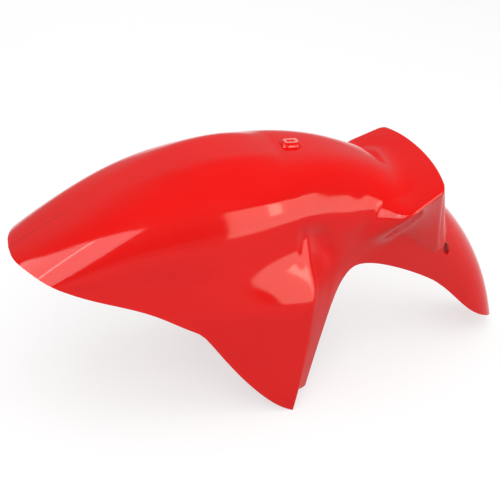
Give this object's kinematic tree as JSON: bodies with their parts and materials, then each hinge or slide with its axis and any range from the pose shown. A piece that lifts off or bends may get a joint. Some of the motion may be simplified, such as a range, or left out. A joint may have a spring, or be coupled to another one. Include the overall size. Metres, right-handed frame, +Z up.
{
  "type": "motorcycle front mudguard",
  "caption": "Gloss red moulded front mudguard with flared skirts, fork leg channels, a low spine and a rear wing.",
  "frame": {"origin": "middle of the length, on the plane of symmetry, at the height of the skirt tips", "axes": "+X to the rear of the motorcycle, +Y to its right, +Z up"},
  "size_m": [0.5732, 0.248, 0.2702],
  "materials": {
    "red_plastic": "gloss"
  },
  "bodies": {
    "root": {"mudguard": "red_plastic"}
  },
  "joints": []
}
